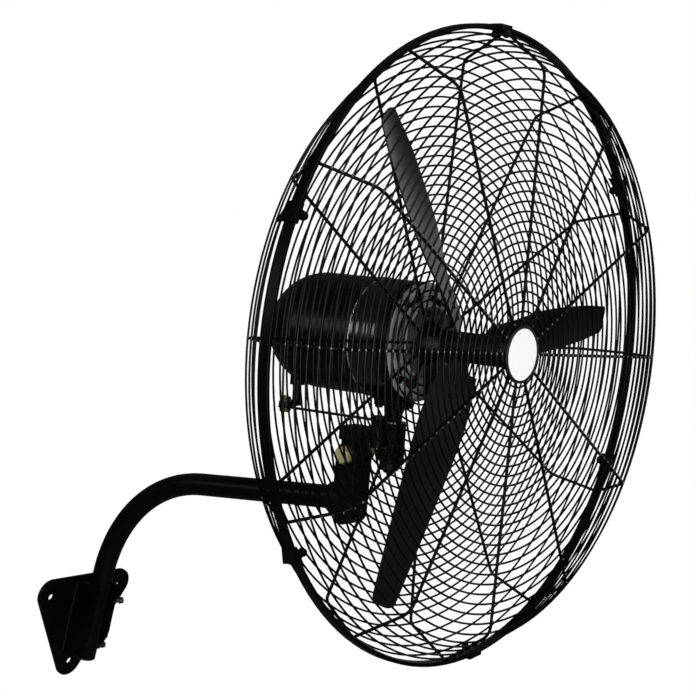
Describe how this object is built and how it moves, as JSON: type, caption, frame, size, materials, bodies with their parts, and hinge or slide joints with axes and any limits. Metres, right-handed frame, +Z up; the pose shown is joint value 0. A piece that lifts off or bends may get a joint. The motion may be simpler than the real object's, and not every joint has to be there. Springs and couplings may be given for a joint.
{
  "type": "wall mounted fan",
  "caption": "Industrial wall fan with a wire cage guard, wide blades, a domed motor and a swing linkage, on a bent tube arm with a tilting knuckle and a wall plate.",
  "frame": {"origin": "centre of the circle of wall bolts, on the back face of the wall plate", "axes": "+Z up, +Y into the wall, so the fan stands out towards -Y; X across, with X = 0 the plane of the arm"},
  "size_m": [0.8064, 0.7149, 1.1222],
  "materials": {
    "black_enamel": "semi-gloss black powder coat with a fine orange peel",
    "motor_grey": "satin dark grey paint on a casting",
    "blade_charcoal": "satin charcoal paint",
    "black_plastic": "moulded, fine grain",
    "badge_white": "plain white, bare",
    "yellow_zinc": "yellow zinc plating with a faint iridescence",
    "bright_steel": "turned and plated steel",
    "dark_screw": "blackened steel",
    "cast_aluminium": "as cast",
    "motor_iron": "laminated sheet, bare edges",
    "copper_wire": "varnished copper windings",
    "bronze": "turned bronze"
  },
  "bodies": {
    "wall_arm": {"wall_plate": "black_enamel", "tube_bracket": "black_enamel", "bracket_bolts": "bright_steel", "bracket_nuts": "bright_steel", "arm_tube": "black_enamel", "tube_end_plug": "black_plastic", "knuckle": "black_enamel", "knuckle_clamp_screw": "dark_screw", "tilt_bolt": "yellow_zinc", "tilt_nut": "yellow_zinc", "tilt_washers": "yellow_zinc"},
    "tilting_head": {"tilt_head": "black_enamel", "pivot_bush": "bronze"},
    "fan_head": {"pivot_post": "black_enamel", "foot_screws": "dark_screw", "thrust_washer": "bright_steel", "post_nut": "bright_steel", "front_end_bell": "motor_grey", "motor_shell": "black_enamel", "rear_cover": "black_enamel", "cable_gland": "black_plastic", "rear_bearing_bracket": "cast_aluminium", "bearings": "bright_steel", "stator_core": "motor_iron", "stator_windings": "copper_wire", "tie_screws": "dark_screw", "gearbox_housing": "cast_aluminium", "cover_screws": "dark_screw", "front_guard_spokes": "black_enamel", "front_guard_face_rings": "black_enamel", "front_guard_side_rings": "black_enamel", "front_centre_plate": "black_enamel", "badge_rim": "black_plastic", "badge_disc": "badge_white", "rear_guard_spokes": "black_enamel", "rear_guard_face_rings": "black_enamel", "rear_guard_side_rings": "black_enamel", "rear_centre_ring": "black_enamel", "guard_screws": "dark_screw", "guard_rim_wires": "black_enamel", "rim_hoop": "black_enamel", "rim_clips": "black_enamel", "clip_screws": "dark_screw", "clip_nuts": "dark_screw"},
    "rotor": {"motor_shaft": "bright_steel", "rotor_core": "motor_iron", "fan_hub": "blade_charcoal", "blade_1": "blade_charcoal", "blade_2": "blade_charcoal", "blade_3": "blade_charcoal", "blade_rivets": "dark_screw", "hub_set_screws": "dark_screw", "shaft_nut": "bright_steel"},
    "worm_gear": {"worm_wheel": "bronze"},
    "crank": {"crank_shaft": "bright_steel", "crank_arm": "black_enamel", "crank_pin": "yellow_zinc", "crank_pin_nut": "yellow_zinc"},
    "link": {"link_bar": "black_enamel", "link_end_screw": "dark_screw"}
  },
  "joints": [
    {"name": "tilt", "type": "hinge", "parent": "wall_arm", "child": "tilting_head", "pos_m": [0, -0.43332, 0.42738], "axis": [-1, 0, 0], "range_deg": [-32, 17]},
    {"name": "swing", "type": "hinge", "parent": "tilting_head", "child": "fan_head", "pos_m": [0, -0.48756, 0.45989], "axis": [0, 0.2164, 0.9763], "range_deg": [-35, 35]},
    {"name": "fan_spin", "type": "hinge", "parent": "fan_head", "child": "rotor", "pos_m": [0, -0.57442, 0.62255], "axis": [0, -0.9763, 0.2164], "continuous": true},
    {"name": "gear_spin", "type": "hinge", "parent": "fan_head", "child": "worm_gear", "pos_m": [-0.024, -0.31375, 0.56476], "axis": [0, 0.2164, 0.9763], "continuous": true},
    {"name": "crank_turn", "type": "hinge", "parent": "fan_head", "child": "crank", "pos_m": [-0.024, -0.33323, 0.47689], "axis": [0, 0.2164, 0.9763], "range_deg": [-46, 46]},
    {"name": "link_turn", "type": "hinge", "parent": "crank", "child": "link", "pos_m": [-0.046, -0.33669, 0.46127], "axis": [0, 0.2164, 0.9763], "range_deg": [-46, 46]}
  ],
  "couplings": [
    {"joint": "gear_spin", "follows": "fan_spin", "ratio": 0.052632},
    {"joint": "crank_turn", "follows": "swing", "ratio": -1.3},
    {"joint": "link_turn", "follows": "swing", "ratio": 1.3}
  ]
}
